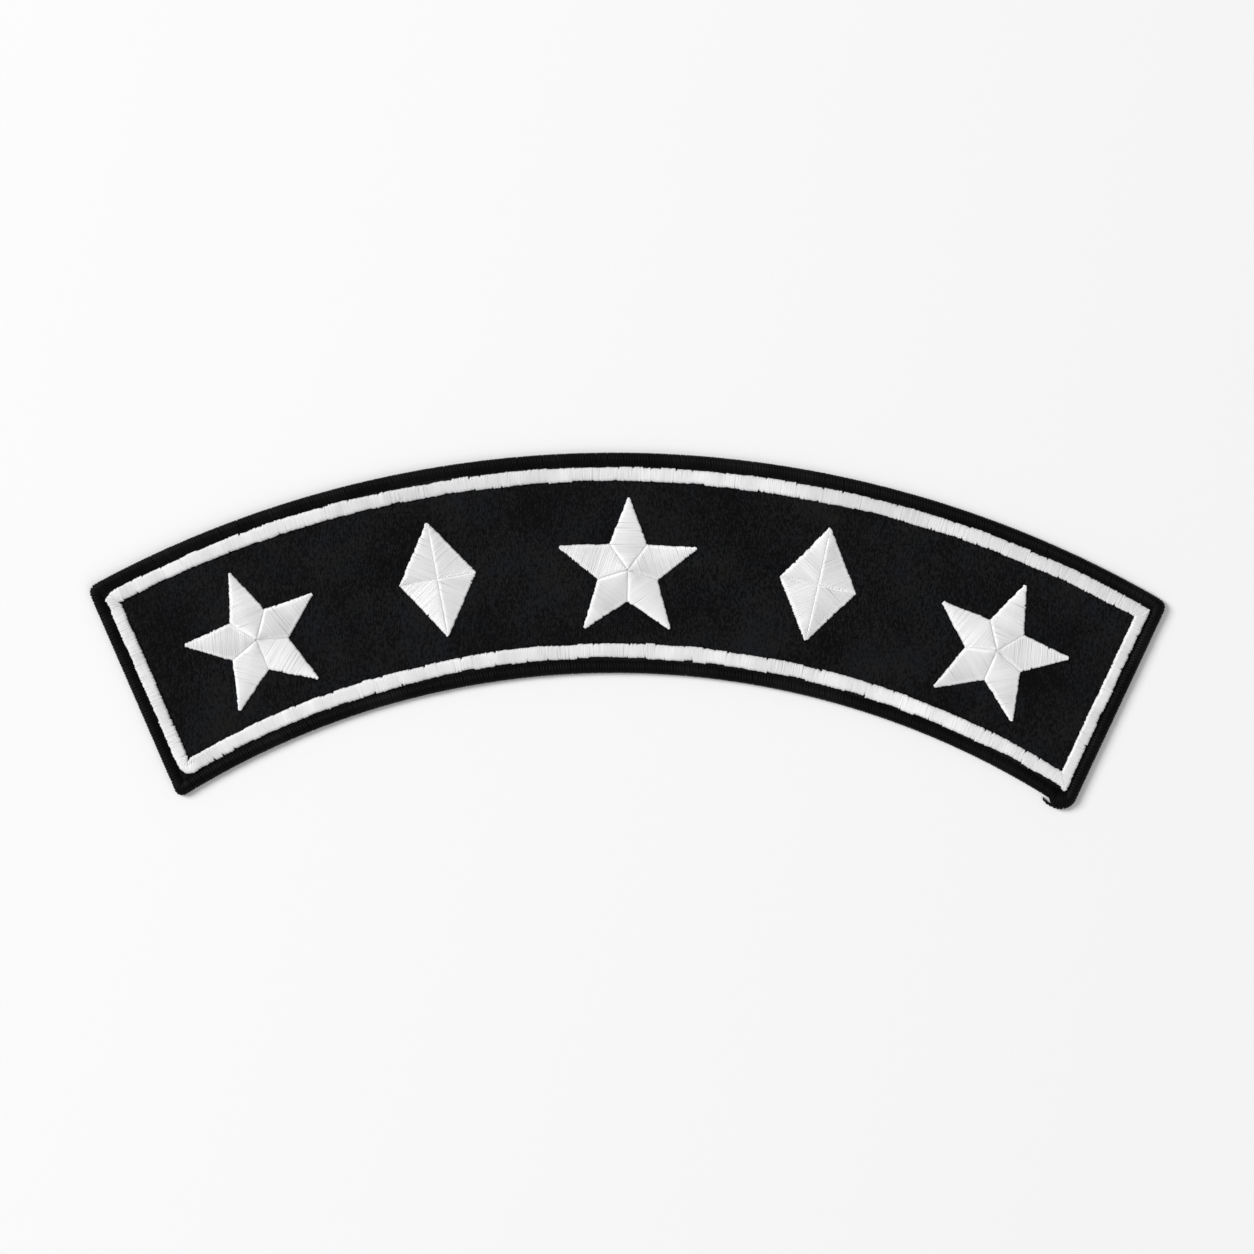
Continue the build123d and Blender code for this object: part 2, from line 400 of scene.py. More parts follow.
def twill_material():
    """Black twill: near black in the pits of the weave, where shade is painted, softly cloudy, with fuzz and
    lint.
    """
    material, tree, shader = new_material("black_twill", roughness=0.75, specular=0.07)
    place = add_node(tree, "ShaderNodeTexCoord").outputs["Object"]
    height, each = weave_relief(tree, place)
    clouds = add_node(tree, "ShaderNodeTexNoise", Vector=place, Scale=1 / CLOUD, Detail=2.6).outputs[0]
    fuzz = add_node(tree, "ShaderNodeTexNoise", Vector=place, Scale=1 / FUZZ, Detail=2.0).outputs[0]
    cloudy = sums(tree, "MULTIPLY", clouds, CLOUD_DEPTH)
    fuzzy = sums(tree, "ADD", cloudy, sums(tree, "MULTIPLY", fuzz, FUZZ_DEPTH))
    light = sums(tree, "ADD", fuzzy, sums(tree, "MULTIPLY", each, FLOAT_DEPTH))
    aside = add_node(tree, "ShaderNodeVectorMath", operation="ADD")
    for value, socket in ((place, 0), (TINGE_ASIDE, 1)):
        plug(tree, value, aside.inputs[socket])
    tinge = add_node(tree, "ShaderNodeTexNoise", Vector=aside.outputs[0], Scale=1 / TINGE, Detail=4.0)
    warm_to_cool = sums(tree, "SUBTRACT", sums(tree, "MULTIPLY", tinge.outputs[0], TINGE_DEPTH), TINGE_FROM)
    tinged = blend(tree, warm_to_cool, TWILL_WARM, TWILL_COOL)
    toned = blend(tree, sums(tree, "SUBTRACT", light, DYED_FROM), TWILL_DARK, tinged)
    # painted shade in the pits of the weave, where the threads dive
    pits = sums(tree, "MULTIPLY", sums(tree, "SUBTRACT", 1.0, height), PIT_SHADE_DEPTH)
    woven = blend(tree, pits, toned, TWILL_PIT_SHADE)
    plug(tree, blend(tree, lint_specks(tree, place), woven, LINT_COLOUR), shader.inputs["Base Color"])
    raised = add_node(tree, "ShaderNodeBump", Strength=1.0, Distance=WEAVE_RELIEF, Height=height)
    plug(tree, raised.outputs["Normal"], shader.inputs["Normal"])
    return material


def backing_material():
    """Fused backing: a thin dull film that shows the weave's unevenness."""
    material, tree, shader = new_material("fused_backing", roughness=0.5, specular=0.25)
    place = add_node(tree, "ShaderNodeTexCoord").outputs["Object"]
    uneven = add_node(tree, "ShaderNodeTexNoise", Vector=place, Scale=BACKING_GRAINS, Detail=2.0).outputs[0]
    plug(tree, blend(tree, uneven, TWILL_DARK, BACKING_COLOUR), shader.inputs["Base Color"])
    raised = add_node(tree, "ShaderNodeBump", Strength=0.6, Distance=BACKING_RELIEF, Height=uneven)
    plug(tree, raised.outputs["Normal"], shader.inputs["Normal"])
    return material


cloth = build("twill_sheet", [twill_material(), backing_material()], cloth_sheet())
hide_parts("twill_ground")

# White line: one column of white satin stitch that runs round the patch inside its border. Its threads lie
# side by side over a padding of the same white thread and turn down into needle holes. The needle turns the
# two left corners in a fan, and mitres the two right ones.
LINE_OUTSIDE = (4.2 * MM, 3.8 * MM)  # its outer side, measured as the inner one is
LINE_CORNERS = [
    # how far a turned corner is cut off along the edge before it and the edge after it, and how full the cut
    # is, or None for a mitre
    (1.7 * MM, 3.3 * MM, 0.55),  # upper left
    None,
    None,
    (3.0 * MM, 4.0 * MM, 0.72),  # lower left
]
PADDING_CORNERS = [(2.4 * MM, 3.4 * MM, 0.5), None, None, (4.2 * MM, 4.2 * MM, 0.6)]
PADDING_INSET = 0.52 * MM
PADDING_SPACING = 0.9 * MM
PADDING_SECTION = [
    # share of the way across, height above the twill
    (0.00, -0.12 * MM),
    (0.00, 0.36 * MM),
    (0.20, 0.52 * MM),
    (0.80, 0.52 * MM),
    (1.00, 0.36 * MM),
    (1.00, -0.12 * MM),
]
CUT_POINTS = 12
FAN = 1.2 * MM  # how far before an inner corner a turn begins
TURN_SPREAD = 1.15  # how much further apart the needle holes are on the outside of a turn
TURN_SHORT = 0.3  # how far every other thread stops short of the inside of a turn, as a share of its length
BLUNT = 0.15 * MM  # how much of a mitre's tip has no stitches
MITRE_OVERLAP = 0.16  # how far the threads cross a mitre, as a share of the column's width
STITCH_SPACING = 0.26 * MM  # between one thread and the next
THREAD_HALF_WIDTH = 0.20 * MM
THREAD_HALF_HEIGHT = 0.15 * MM
HOLE_DEPTH = 0.12 * MM  # below the face of the twill
HOLE_SHARE = 0.36  # how far the two threads in a hole lie to its sides, in stitches
SHORTEST_STITCH = 0.5 * MM
LAID_ASIDE = 0.03 * MM  # how far threads lie out of line
LAID_PROUD = 0.02 * MM  # how far they lie high or low
THREAD_PLUMPNESS = 0.06  # how much they differ in thickness
HOLE_THIN = 0.5  # how thick a thread is in its hole, against its middle
BEND_ROOM = 0.42  # the share of its length that a thread's bends take at each end, at most
BEND_CROWDING = 1.4  # how closely they crowd towards the ends of a short thread
LINE_BENDS = [(0, 0), (0.16 * MM, 0.76), (0.72 * MM, 1)]  # way in from each end, share of the height climbed
LINE_SHOULDER = 0.68 * MM  # how high the column stands near its sides
UNEVEN = 0.065 * MM  # how unevenly the needle lands
# painted sheen: the threads are painted paler where they bend down to their holes, so the column's sides
# look bright
PAINTED_RIM_SHEEN = 0.7  # how much duller the threads are where they stand highest
STEP = 0.11 * MM  # how far whole runs of stitches lie in or out
NICK = 0.38 * MM  # how far one stitch falls short between two runs
NICK_CHANCE = 0.55
RUN = (8, 24)  # stitches in a run
WANDER = 0.12 * MM  # how far the line strays from its path
WANDER_STITCHES = 70  # stitches between one stray and the next
# How strong steps and nicks are, and how far the tight thread pulls the line in, on the upper edge, the
# right end, the lower edge, the left end and the turned corners.
TOOTHED_OUTSIDE = np.array([0.85, 0.85, 1.45, 0.45, 0.3])
TOOTHED_INSIDE = np.array([0.9, 0.35, 0.85, 0.6, 0.3])
PULLED_OUTSIDE = np.array([0.06, 0.06, 0.13, -0.09, 0.0]) * MM
PULLED_INSIDE = np.array([0.20, 0.20, 0.06, 0.12, 0.08]) * MM
NOTCH = 0.6 * MM  # how deep the cloth pokes into the line at the inside of a turn
NOTCH_REACH = 0.45 * MM
SPUR = 0.4 * MM  # how far the last stitches of the left end stick out at the upper corner
SPUR_REACH = 0.7 * MM
SHORT_BATCH = (4, 22)  # threads between one tone and the next
LONG_BATCH = (60, 160)
SHORT_SHARE = 0.46  # how much of a thread's tone it has from its short batch
LONG_SHARE = 0.38
THREAD_LAY_MM = 1.1  # the length of thread in which a strand goes round once
STRANDS = 3.0
STRAND_RELIEF = 0.02 * MM
STRAND_SHADE = 0.35  # how much of the shade lies between strands, and not in the dye
DULL_SHADE = 0.15  # how much duller a thread is in full shade than in none
SILKY_LIGHT = 0.05  # how much silkier it is in no shade than its roughness says
LAY_SHIFT_MM = 40  # shifts each thread's lay by its dye, so that the lays of neighbours don't line up
# light and shade colours of the white thread; its dye, the painted shade between strands and the painted
# sheen near the holes move its colour between them
SATIN_WHITE = (0.874, 0.868, 0.874, 1)
SATIN_SHADE = (0.437, 0.432, 0.442, 1)

rng = np.random.default_rng(12)


def thread_shell(centres, sideways, half_width, half_height, dye_and_sheen, sides=6):
    """Closed round threads. Centres are each thread's middle line, sideways the direction across it. Sizes
    and the tone from dyeing and painted sheen are given at each point of the middle line."""
    threads, rings = centres.shape[:2]
    upward = np.cross(sideways, np.gradient(centres, axis=1))
    upward /= np.linalg.norm(upward, axis=-1, keepdims=True)
    turn = np.arange(sides) * math.tau / sides
    wide, high = half_width[..., None, None], half_height[..., None, None]
    across = np.cos(turn)[:, None] * sideways[:, :, None]
    over = np.sin(turn)[:, None] * upward[:, :, None]
    places = (centres[:, :, None] + wide * across + high * over).reshape(-1, 3)
    facing = (high * across + wide * over).reshape(-1, 3)
    facing /= np.linalg.norm(facing, axis=1, keepdims=True)
    at = np.arange(threads * rings * sides).reshape(threads, rings, sides)
    beside = np.roll(at, -1, 2)
    quads = np.stack([at[:, :-1], at[:, 1:], beside[:, 1:], beside[:, :-1]], -1).reshape(-1, 4)
    caps = np.concatenate([at[:, 0], at[:, -1, ::-1]])
    gone = np.linalg.norm(np.diff(centres, axis=1), axis=-1).cumsum(1) / MM
    gone = np.concatenate([np.zeros((threads, 1)), gone], 1) + LAY_SHIFT_MM * dye_and_sheen.max(1, keepdims=True)
    along = np.broadcast_to(gone[:, :, None], at.shape)
    around = np.broadcast_to(np.arange(sides) / sides, at.shape)
    next_around = around + 1 / sides
    quad_grain = np.stack(
        [
            np.stack([along[:, :-1], along[:, 1:], along[:, 1:], along[:, :-1]], -1),
            np.stack([around[:, :-1], around[:, 1:], next_around[:, 1:], next_around[:, :-1]], -1),
        ],
        -1,
    ).reshape(-1, 2)
    cap_grain = np.column_stack([along.reshape(-1)[caps.ravel()], around.reshape(-1)[caps.ravel()]])
    faces = quads.tolist() + caps.tolist()
    grain = np.concatenate([quad_grain, cap_grain])
    return places, faces, [0] * len(faces), grain, np.repeat(dye_and_sheen, sides), facing


def resample(line, shares):
    """Points at shares of a line's length."""
    gone = np.concatenate([[0], np.linalg.norm(np.diff(line, axis=0), axis=1).cumsum()])
    return np.column_stack([np.interp(shares * gone[-1], gone, line[:, axis]) for axis in (0, 1)])


def cut_corner(start, corner, stop, fullness):
    """The line from start to stop past a corner: straight at a fullness of 0, and fuller with more."""
    middle = (start + stop) / 2
    pull = middle + (corner - middle) * fullness
    share = np.linspace(0, 1, CUT_POINTS)[:, None]
    return start * (1 - share) ** 2 + pull * 2 * share * (1 - share) + stop * share**2


def column(outside, inside, corners, spacing):
    """Facing points on the two sides of a column of stitches that runs clockwise round the patch, and the
    number of the edge that each pair lies on, or -1 in a turned corner."""
    outer_spans, inner_spans = edge_spans(outside), edge_spans(inside)
    outers, inners, edges = [], [], []
    for k, edge in enumerate(EDGES):
        out, into = outside[k % 2], inside[k % 2]
        (outer_start, outer_stop), (inner_start, inner_stop) = outer_spans[k], inner_spans[k]
        ahead = (k + 1) % 4
        start = inner_start + FAN if corners[k] else outer_start + BLUNT
        stop = inner_stop - FAN if corners[ahead] else outer_stop - BLUNT
        count = round((stop - start) / spacing)
        along = start + (np.arange(count) + 0.5) * (stop - start) / count
        reach = np.ones(count)
        if not corners[k]:
            reach = np.minimum(reach, (along - outer_start) / (inner_start - outer_start) + MITRE_OVERLAP)
        if not corners[ahead]:
            reach = np.minimum(reach, (outer_stop - along) / (outer_stop - inner_stop) + MITRE_OVERLAP)
        outers.append(edge(along, out))
        inners.append(edge(along, out + (into - out) * reach))
        edges.append(np.full(count, k))
        if corners[ahead]:
            before, after, fullness = corners[ahead]
            next_edge, next_out, next_into = EDGES[ahead], outside[ahead % 2], inside[ahead % 2]
            next_start = inner_spans[ahead][0] + FAN
            cut_stop = next_edge(outer_spans[ahead][0] + after, next_out)
            cut = cut_corner(edge(outer_stop - before, out), edge(outer_stop, out), cut_stop, fullness)
            outer_line = np.concatenate([[edge(stop, out)], cut, [next_edge(next_start, next_out)]])
            inner_stops = [edge(stop, into), edge(inner_stop, into), next_edge(next_start, next_into)]
            inner_line = np.stack(inner_stops)
            outer_length = np.linalg.norm(np.diff(outer_line, axis=0), axis=1).sum()
            count = 2 * round(outer_length / spacing / (2 * TURN_SPREAD))
            shares = (np.arange(count) + 0.5) / count
            outers.append(resample(outer_line, shares))
            inners.append(resample(inner_line, shares))
            edges.append(np.full(count, -1))
    return np.concatenate(outers), np.concatenate(inners), np.concatenate(edges)


def ragged(count, toothed):
    """How far each needle hole lies out of line: the line strays a little, steps between short runs of
    stitches, has nicks where one run meets the next, and is uneven throughout. Toothed is the strength of
    steps and nicks."""
    firsts = np.cumsum(rng.integers(*RUN, count))
    firsts = firsts[firsts < count]
    run = np.zeros(count, int)
    run[firsts] = 1
    lie = np.clip(rng.normal(0, STEP, count), -2 * STEP, 2 * STEP)[run.cumsum()]
    lie[firsts[rng.random(len(firsts)) < NICK_CHANCE]] -= NICK
    knots = np.arange(0, count + WANDER_STITCHES, WANDER_STITCHES)
    stray = np.interp(np.arange(count), knots, rng.normal(0, WANDER, len(knots)))
    return stray * np.minimum(1, toothed) + lie * toothed + rng.normal(0, UNEVEN, count)


def batches(count, fewest, most):
    """A number for each of count threads that drifts from one random value to the next."""
    knots = np.cumsum(rng.integers(fewest, most, count))
    return np.interp(np.arange(count), knots, rng.random(count))


def satin_shell(starts, stops, top_at, bends):
    """Threads laid from hole to hole. Top_at gives how high the threads' tops lie, from the share across."""
    length = np.linalg.norm(stops - starts, axis=1)
    kept = length > SHORTEST_STITCH
    starts, stops, length = starts[kept], stops[kept], length[kept]
    count = len(starts)
    way_in, climb = np.array(bends).T
    most = BEND_ROOM * (np.arange(len(bends)) / (len(bends) - 1)) ** BEND_CROWDING
    way_in = np.minimum(way_in, most * length[:, None]) / length[:, None]
    shares = np.concatenate([way_in, 1 - way_in[:, ::-1]], 1)
    climb = np.concatenate([climb, climb[::-1]])
    run = (stops - starts) / length[:, None]
    sideways = np.column_stack([run[:, 1], -run[:, 0], np.zeros(count)])[:, None]
    flat = starts[:, None] + (stops - starts)[:, None] * shares[..., None]
    flat = flat + (rng.normal(0, LAID_ASIDE, count)[:, None] * climb)[..., None] * sideways[..., :2]
    top = top_at(shares, kept) + rng.normal(0, LAID_PROUD, count)[:, None]
    hole = twill_face - HOLE_DEPTH
    height = hole + (top - THREAD_HALF_HEIGHT - hole) * climb
    centres = np.concatenate([flat, height[..., None]], -1)
    thinned = HOLE_THIN + (1 - HOLE_THIN) * np.sqrt(climb)
    plump = rng.normal(1, THREAD_PLUMPNESS, count)[:, None] * thinned
    took = SHORT_SHARE * batches(count, *SHORT_BATCH) + LONG_SHARE * batches(count, *LONG_BATCH)
    took = took + (1 - SHORT_SHARE - LONG_SHARE) * rng.random(count)
    # painted sheen: paler threads near the holes, full tone where they stand highest
    shoulder = climb[climb < 1].max()
    beyond_rim_sheen = np.clip((climb - shoulder) / (1 - shoulder), 0, 1)
    dye_and_sheen = took[:, None] * (1 - PAINTED_RIM_SHEEN + PAINTED_RIM_SHEEN * beyond_rim_sheen)
    return thread_shell(centres, sideways, THREAD_HALF_WIDTH * plump, THREAD_HALF_HEIGHT * plump, dye_and_sheen)


def zigzag(one_side, other_side):
    """Each thread's ends. The needle makes its holes on one side and the other in turn, each thread runs
    between two, and the two threads that share a hole lie side by side."""
    odd = (np.arange(len(one_side)) % 2 == 1)[:, None]
    holes = np.where(odd, other_side, one_side)
    beside = HOLE_SHARE * np.where(odd, np.gradient(other_side, axis=0), np.gradient(one_side, axis=0))
    return holes + beside, np.roll(holes - beside, -1, 0)


def ring_shell(rings):
    """A closed body swept round a closed line: rings of points, in order."""
    count, around = rings.shape[:2]
    at = np.arange(count * around).reshape(count, around)
    ahead = np.roll(at, -1, 0)
    quads = np.stack([at, np.roll(at, -1, 1), np.roll(ahead, -1, 1), ahead], -1).reshape(-1, 4)
    return plain_shell(rings.reshape(-1, 3), quads.tolist())


def swept_section(outer, inner, section):
    """Rings of a section at each pair of facing points, from shares of the way across and heights."""
    rings = []
    for share, height in section:
        rings.append(np.column_stack([outer + (inner - outer) * share, np.full(len(outer), height)]))
    return np.stack(rings, 1)


def nearness(points, place, reach):
    """1 at a place, falling off over a distance."""
    return np.exp(-((np.linalg.norm(points - place, axis=1) / reach) ** 2))


def white_line_holes():
    """The line's needle holes on its outer and inner sides."""
    outer, inner, edges = column(LINE_OUTSIDE, LINE_INSIDE, LINE_CORNERS, STITCH_SPACING)
    across = outer - inner
    width = np.linalg.norm(across, axis=1, keepdims=True)
    outwards = across / np.maximum(width, SHORTEST_STITCH)
    left_stop = edge_spans(LINE_OUTSIDE)[3][1]
    spur = left_end(left_stop - LINE_CORNERS[0][0], LINE_OUTSIDE[1])
    upper_start, lower_stop = edge_spans(LINE_INSIDE)[0][0], edge_spans(LINE_INSIDE)[2][1]
    notches = [upper_edge(upper_start, LINE_INSIDE[0]), lower_edge(lower_stop, LINE_INSIDE[0])]
    out = ragged(len(edges), TOOTHED_OUTSIDE[edges]) - PULLED_OUTSIDE[edges]
    out = out + SPUR * nearness(outer, spur, SPUR_REACH)
    into = ragged(len(edges), TOOTHED_INSIDE[edges]) - PULLED_INSIDE[edges]
    into = into - sum(NOTCH * nearness(inner, notch, NOTCH_REACH) for notch in notches)
    outer = outer + outwards * out[:, None]
    inner = inner - outwards * into[:, None]
    short = (edges < 0) & (np.arange(len(edges)) % 4 == 1)
    inner[short] += TURN_SHORT * across[short]
    return outer, inner


def line_height(shares, kept):
    return line_top - (line_top - twill_face - LINE_SHOULDER) * (2 * shares - 1) ** 2


def new_group(name, inputs, outputs):
    """An empty shader node group with named inputs, as (name, value), and named outputs."""
    group = bpy.data.node_groups.new(name, "ShaderNodeTree")
    for label, value in inputs:
        socket = group.interface.new_socket(label, in_out="INPUT", socket_type="NodeSocketFloat")
        socket.default_value = value
    for label in outputs:
        group.interface.new_socket(label, in_out="OUTPUT", socket_type="NodeSocketFloat")
    return group, group.nodes.new("NodeGroupInput").outputs, group.nodes.new("NodeGroupOutput").inputs


def twisted_thread():
    """Node group of a twisted thread: strands wind round it, with painted shade in the gaps between them,
    and each thread took the dyeing differently and carries its own painted sheen.
    """
    group, taken, given = new_group("twisted_thread", [("Lay", 1.0)], ["Height", "Shade"])
    grain = add_node(group, "ShaderNodeUVMap", uv_map="grain").outputs["UV"]
    apart = add_node(group, "ShaderNodeSeparateXYZ", Vector=grain)
    wound = sums(group, "ADD", sums(group, "DIVIDE", apart.outputs["X"], taken["Lay"]), apart.outputs["Y"])
    strand = rounded(group, sums(group, "MULTIPLY", wound, STRANDS))
    plug(group, strand, given["Height"])
    toned = add_node(group, "ShaderNodeAttribute", attribute_name="dye_and_sheen").outputs["Fac"]
    # painted shade in the gaps between strands
    between = sums(group, "MULTIPLY", sums(group, "SUBTRACT", 1.0, strand), STRAND_SHADE)
    plug(group, sums(group, "ADD", sums(group, "MULTIPLY", toned, 1 - STRAND_SHADE), between), given["Shade"])
    return group


def thread_material(name, roughness, specular, lay_mm, light, shade):
    """Twisted rayon or polyester thread."""
    material, tree, shader = new_material(name, roughness, specular)
    fibre = tree.nodes.new("ShaderNodeGroup")
    fibre.node_tree = twist
    fibre.inputs["Lay"].default_value = lay_mm
    plug(tree, blend(tree, fibre.outputs["Shade"], light, shade), shader.inputs["Base Color"])
    duller = sums(tree, "MULTIPLY", fibre.outputs["Shade"], DULL_SHADE)
    plug(tree, sums(tree, "ADD", duller, roughness - SILKY_LIGHT), shader.inputs["Roughness"])
    raised = add_node(tree, "ShaderNodeBump", Strength=1.0, Distance=STRAND_RELIEF)
    plug(tree, fibre.outputs["Height"], raised.inputs["Height"])
    plug(tree, raised.outputs["Normal"], shader.inputs["Normal"])
    return material


line_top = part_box("frame_stitching")[1].z
twist = twisted_thread()
satin = thread_material(
    "white_satin_thread",
    roughness=0.34,
    specular=0.95,
    lay_mm=THREAD_LAY_MM,
    light=SATIN_WHITE,
    shade=SATIN_SHADE,
)
padding = column(
    [inset + PADDING_INSET for inset in LINE_OUTSIDE],
    [inset - PADDING_INSET for inset in LINE_INSIDE],
    PADDING_CORNERS,
    PADDING_SPACING,
)
padding_section = [(share, twill_face + height) for share, height in PADDING_SECTION]
line = build(
    "satin_line",
    [satin],
    ring_shell(swept_section(*padding[:2], padding_section)),
    satin_shell(*zigzag(*white_line_holes()), line_height, LINE_BENDS),
)
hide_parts("frame_stitching")

# Stars: each of a star's five arms is a column of satin stitch as wide as the arm, that swells to a ridge
# along its middle. The columns meet in valleys that run from the notches to the middle of the star.
MOTIF_SHOULDER = 0.45 * MM
TIP_BLUNT = 0.8 * MM
PADDING_SHRINK = 0.94
UNDER_SHOULDER = 1.5 * THREAD_HALF_HEIGHT  # how far the padding lies below the stitches near its sides
UNDER_CREST = 2.5 * THREAD_HALF_HEIGHT
MOTIF_BENDS = [(0, 0), (0.16 * MM, 0.66), (0.50 * MM, 0.94), (1.30 * MM, 1), (4.50 * MM, 1)]
MOTIF_TOOTHED = 0.5
HIDDEN_TOOTHED = 0.3  # how ragged the ends in a valley or on a diagonal are, against those at the outline
ARM_SWELL = 1.7  # how full an arm swells, where 1 would be a sharp ridge


def padding_body(crest, corners):
    """Padding under a motif: its outline drawn in, low walls and facets that rise to the crest."""
    middle = crest[:2]
    drawn = middle + (corners - middle) * PADDING_SHRINK
    count = len(corners)
    low = np.column_stack([drawn, np.full(count, twill_face - HOLE_DEPTH)])
    high = np.column_stack([drawn, np.full(count, twill_face + MOTIF_SHOULDER - UNDER_SHOULDER)])
    top = [*middle, crest[2] - UNDER_CREST]
    at = np.arange(count)
    ahead = np.roll(at, -1)
    walls = np.column_stack([at, at + count, ahead + count, ahead])
    facets = np.column_stack([at + count, np.full(count, 2 * count), ahead + count])
    faces = [at.tolist()] + walls.tolist() + facets.tolist()
    return plain_shell(np.concatenate([low, high, [top]]), faces)


def star_shells(crest, corners):
    middle, low = crest[:2], twill_face + MOTIF_SHOULDER
    reach = np.linalg.norm(corners - middle, axis=1)
    corners = np.roll(corners, -int(np.argmax(reach)), 0)
    shells = [padding_body(crest, corners)]
    for arm in range(0, len(corners), 2):
        tip, notches = corners[arm], (corners[arm - 1], corners[arm + 1])
        length = np.linalg.norm(tip - middle)
        ahead = (middle - tip) / length
        notch_at = (notches[0] - tip) @ ahead
        count = round((length - TIP_BLUNT) / STITCH_SPACING)
        along = TIP_BLUNT + (np.arange(count) + 0.5) * (length - TIP_BLUNT) / count
        knots = [0, notch_at, length]
        aside = np.array([ahead[1], -ahead[0]])
        loose = np.where(along < notch_at, 1, HIDDEN_TOOTHED)[:, None]
        sides = []
        for notch in notches:
            turns = np.stack([tip, notch, middle])
            side = np.column_stack([np.interp(along, knots, turns[:, axis]) for axis in (0, 1)])
            outwards = np.sign((side - middle) @ aside)[:, None] * aside
            sides.append(side + outwards * loose * ragged(count, MOTIF_TOOTHED)[:, None])
        starts, stops = zigzag(*sides)
        along = along[:-1, None]
        ridge = low + (crest[2] - low) * along / length
        valley = low + (crest[2] - low) * np.clip((along - notch_at) / (length - notch_at), 0, 1)

        def arm_height(shares, kept, valley=valley, ridge=ridge):
            return valley[kept] + (ridge - valley)[kept] * (1 - np.abs(2 * shares - 1) ** ARM_SWELL)

        shells.append(satin_shell(starts[:-1], stops[:-1], arm_height, MOTIF_BENDS))
    return shells


for node in MOTIFS:
    if node.startswith("star"):
        star = build("satin_" + node, [satin], *star_shells(*outline_of(node)))
        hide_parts(node)

# Lozenges: four facets of satin stitch that meet on the long and the short diagonal. Each facet's threads
# run square to its side of the outline, so that the four catch the light one after another.
DIAGONAL_DIP = 0.10 * MM  # how much lower than the crest the threads meet
FACET_SWELL = 0.12 * MM
CROSSING = 0.14 * MM  # how far the threads reach past a diagonal


def lozenge_shells(crest, corners):
    middle, low = crest[:2], twill_face + MOTIF_SHOULDER
    shells = [padding_body(crest, corners)]
    for first, second in zip(corners, np.roll(corners, -1, 0)):
        length = np.linalg.norm(second - first)
        ahead = (second - first) / length
        middle_at = (middle - first) @ ahead
        count = round(length / STITCH_SPACING)
        along = (np.arange(count) + 0.5) * length / count
        outer = first + along[:, None] * ahead
        knots = [0, middle_at, length]
        inner_line = np.stack([first, middle, second])
        inner = np.column_stack([np.interp(along, knots, inner_line[:, axis]) for axis in (0, 1)])
        outwards = np.array([-ahead[1], ahead[0]])
        outer = outer + outwards * ragged(count, MOTIF_TOOTHED)[:, None]
        inner = inner + outwards * (HIDDEN_TOOTHED * ragged(count, MOTIF_TOOTHED) - CROSSING)[:, None]
        starts, stops = zigzag(outer, inner)
        to_crest = np.interp(along, knots, [0, 1, 0])[:-1, None]
        ridge = low + (crest[2] - low) * to_crest - DIAGONAL_DIP
        even = (np.arange(count - 1) % 2 == 0)[:, None]

        def facet_height(shares, kept, ridge=ridge, even=even):
            inwards = np.where(even[kept], shares, 1 - shares)
            return low + (ridge[kept] - low) * inwards + FACET_SWELL * (1 - (2 * shares - 1) ** 2)

        shells.append(satin_shell(starts[:-1], stops[:-1], facet_height, MOTIF_BENDS))
    return shells


for node in MOTIFS:
    if node.startswith("lozenge"):
        lozenge = build("satin_" + node, [satin], *lozenge_shells(*outline_of(node)))
        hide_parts(node)

# Overlocked border: thick black thread wrapped closely round the raw edge, over a roll of the same thread.
# Each wrap starts in a needle hole on the face, leans a little, and knots with the next one at the rim. The
# machine starts and stops at the lower right corner, which is fuller and keeps a short twisted tail.
BORDER_REACH = (3.7 * MM, 3.3 * MM)  # from the long edges and from the ends
CORNER_RADII = (2.4 * MM, 2.4 * MM, 4.0 * MM, 2.4 * MM)  # clockwise from the upper left
CORNER_FULLNESS = 0.83
WRAP_SPACING = 0.80 * MM
WRAP_HALF_WIDTH = 0.44 * MM
WRAP_HALF_HEIGHT = 0.26 * MM
WRAP_BATCH = (3, 14)  # wraps between one tone and the next
WRAP_LEAN = 0.7  # stitches between a wrap's foot and its turn round the rim
RIM_HEIGHT = 0.45  # the share of the border's height at which a wrap turns from the face to the back
RIM_SHARE = 0.1  # the share of the way from the rim at which a wrap starts to lean
WRAP_STRAY = 0.06  # stitches by which wraps lie ahead or behind
WRAP_PLUMPNESS = 0.05
FOOT_UNEVEN = 0.012  # how unevenly the feet end, as a share of a wrap's reach
FOOT_FROM = 0.7  # the share of the way from the rim at which the foot begins
# painted sheen: each wrap's colour is painted paler or darker in batches along the border
PAINTED_SHEEN_DRIFT = 0.85  # how much of a wrap's sheen it has from its batch
BORDER_LAY_MM = 1.6
WRAP_SECTION = [
    # share of the way from the rim to the foot, height as a share of the border's, plumpness
    (0.99, 0.52, 0.55),
    (0.90, 0.67, 0.85),
    (0.76, 0.80, 0.97),
    (0.60, 0.885, 1.00),
    (0.44, 0.905, 1.00),
    (0.29, 0.84, 1.00),
    (0.17, 0.70, 1.00),
    (0.09, 0.53, 1.04),
    (0.07, 0.36, 1.06),
    (0.15, 0.20, 1.00),
    (0.38, 0.13, 0.92),
    (0.84, 0.17, 0.60),
]
ROLL_SHRINK = (0.93, 0.86)  # the roll under the wraps, against the middle of their section
LUMP = 1.7 * MM  # length of the border's lumps
LUMP_HEIGHT = 0.09
FULL_AT = 5.2 * MM  # from the lower right corner along the lower edge
FULL_BEFORE = 3.4 * MM  # reach of the fullness towards the corner
FULL_AFTER = 1.1 * MM  # and away from it
FULL_OUT = 1.9 * MM
FULL_UP = 0.05
TAIL_FROM = 5.3 * MM  # also from the corner along the edge
TAIL_LENGTH = 3.2 * MM
